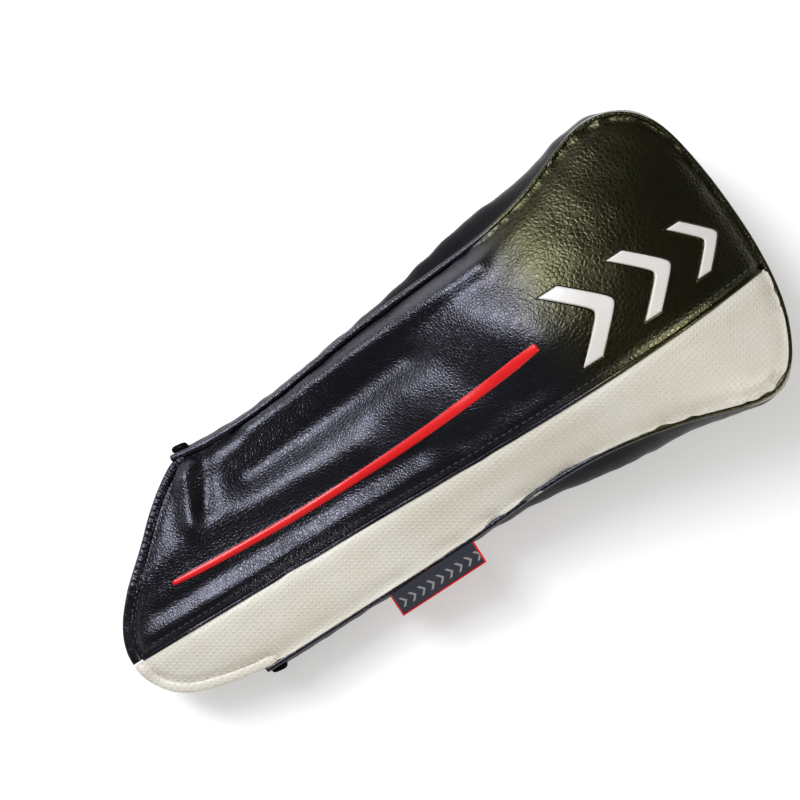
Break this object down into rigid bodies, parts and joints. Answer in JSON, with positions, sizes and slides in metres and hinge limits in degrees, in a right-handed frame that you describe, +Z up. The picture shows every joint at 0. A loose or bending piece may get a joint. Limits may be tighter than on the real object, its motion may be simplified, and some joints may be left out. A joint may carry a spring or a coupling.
{
  "type": "driver head cover",
  "caption": "Padded leatherette head cover for a golf driver, with a flared head pocket, a tapering neck, a rounded pull tongue at the mouth and a woven side label.",
  "frame": {"origin": "on the floor, under the middle of the flat patch of the back panel", "axes": "+X from the mouth to the head end, +Y to the plain black side, +Z up through the front panel"},
  "size_m": [0.3543, 0.1567, 0.0908],
  "materials": {
    "black_leather": "semi-gloss pebbled leatherette",
    "gloss_leather": "glossy smooth leatherette",
    "ivory_leather": "satin leatherette with small embossed dots",
    "ivory_rubber": "satin moulded badge",
    "red_trim": "satin padded strip",
    "foam": "open-cell foam",
    "lining": "short soft pile",
    "cord": "twisted cord",
    "stretch_fabric": "ribbed stretch knit",
    "elastic": "woven elastic",
    "black_thread": "sewing thread",
    "ivory_thread": "sewing thread",
    "label_cloth": "woven label tape"
  },
  "bodies": {
    "cover": {"front_panel": "black_leather", "side_panel": "ivory_leather", "seam_welt": "black_leather", "seam_stitches": "black_thread", "emblem": "ivory_rubber", "red_stripe": "red_trim", "front_foam": "foam", "front_lining": "lining", "front_piping": "black_leather", "front_piping_cord": "cord", "gusset_left": "gloss_leather", "gusset_right": "gloss_leather", "gusset_foam": "foam", "gusset_lining": "lining", "back_panel": "black_leather", "back_neck_panel": "stretch_fabric", "elastic_bands": "elastic", "back_foam": "foam", "back_lining": "lining", "back_piping": "black_leather", "back_piping_cord": "cord", "mouth_hem": "gloss_leather"},
    "tongue": {"tongue_front_panel": "black_leather", "tongue_side_panel": "ivory_leather", "tongue_seam_welt": "black_leather", "tongue_red_stripe": "red_trim", "tongue_front_foam": "foam", "tongue_front_lining": "lining", "tongue_binding_black": "black_leather", "tongue_binding_white": "ivory_leather", "binding_stitches_black": "black_thread", "binding_stitches_white": "ivory_thread", "tongue_seam_stitches": "black_thread"},
    "label": {"label_face": "label_cloth", "label_edge": "red_trim"}
  },
  "joints": [
    {"name": "tongue_flex", "type": "hinge", "parent": "cover", "child": "tongue", "pos_m": [-0.114, -0.0015, 0.04296], "axis": [0.1452, 0.9894, 0], "range_deg": [-8, 40], "stiffness_Nm_per_rad": 0.05},
    {"name": "label_flap", "type": "hinge", "parent": "cover", "child": "label", "pos_m": [-0.031, -0.0595, 0.03642], "axis": [-0.9843, -0.0185, -0.1757], "range_deg": [-60, 80], "stiffness_Nm_per_rad": 0.001}
  ]
}
